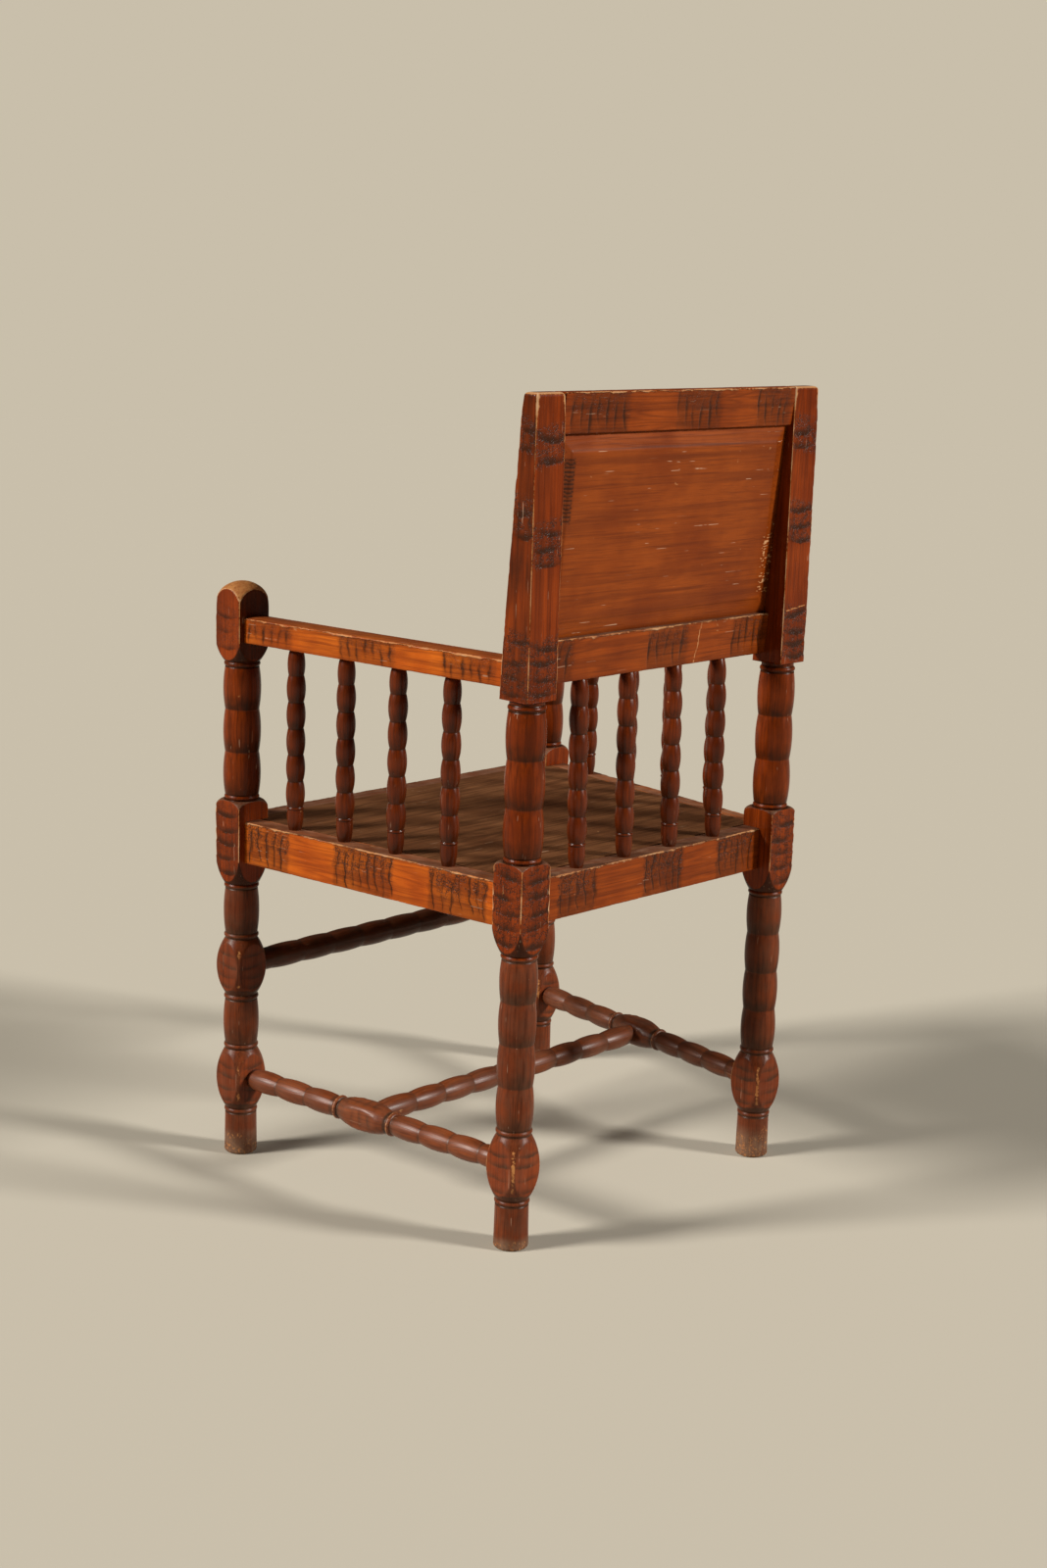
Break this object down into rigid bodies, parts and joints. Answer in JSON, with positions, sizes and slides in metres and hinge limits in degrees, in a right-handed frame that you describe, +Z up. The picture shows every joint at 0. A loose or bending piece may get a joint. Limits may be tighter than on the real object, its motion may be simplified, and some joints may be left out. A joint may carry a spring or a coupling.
{
  "type": "wooden armchair",
  "caption": "Armchair with turned posts and stretchers, spindle-filled arms and lower back, a solid board seat and a raked panelled back.",
  "frame": {"origin": "on the floor, midway between the four posts, which is the middle of the footprint", "axes": "+Z up, the front of the chair faces -Y, the sitter's left is +X"},
  "size_m": [0.602, 0.5, 1.01],
  "materials": {
    "post_wood": "red-brown stain under semi-gloss varnish, worn pale on the arrises",
    "rail_wood": "orange-brown stain under semi-gloss varnish",
    "spindle_wood": "dark red-brown stain under semi-gloss varnish",
    "stretcher_wood": "red-brown stain under semi-gloss varnish",
    "panel_wood": "red-brown stain under semi-gloss varnish, scratched",
    "seat_wood": "dull grey-brown, varnish worn through",
    "block_wood": "unfinished softwood",
    "dowel_wood": "unfinished beech",
    "screw_steel": "plain zinc-plated"
  },
  "bodies": {
    "root": {"arm_dowels": "dowel_wood", "arm_left": "rail_wood", "arm_right": "rail_wood", "arm_spindle_left_1": "spindle_wood", "arm_spindle_left_2": "spindle_wood", "arm_spindle_left_3": "spindle_wood", "arm_spindle_left_4": "spindle_wood", "arm_spindle_right_1": "spindle_wood", "arm_spindle_right_2": "spindle_wood", "arm_spindle_right_3": "spindle_wood", "arm_spindle_right_4": "spindle_wood", "back_lower_rail": "rail_wood", "back_panel": "panel_wood", "back_rail_dowels": "dowel_wood", "back_spindle_1": "spindle_wood", "back_spindle_2": "spindle_wood", "back_spindle_3": "spindle_wood", "back_spindle_4": "spindle_wood", "back_top_rail": "rail_wood", "corner_block_front_left": "block_wood", "corner_block_front_right": "block_wood", "corner_block_rear_left": "block_wood", "corner_block_rear_right": "block_wood", "corner_block_screws": "screw_steel", "cross_stretcher": "stretcher_wood", "front_left_post": "post_wood", "front_right_post": "post_wood", "front_stretcher": "stretcher_wood", "rear_left_post": "post_wood", "rear_right_post": "post_wood", "seat_board": "seat_wood", "seat_board_screws": "screw_steel", "seat_rail_dowels": "dowel_wood", "seat_rail_front": "rail_wood", "seat_rail_left": "rail_wood", "seat_rail_rear": "rail_wood", "seat_rail_right": "rail_wood", "side_stretcher_left": "stretcher_wood", "side_stretcher_right": "stretcher_wood"}
  },
  "joints": []
}
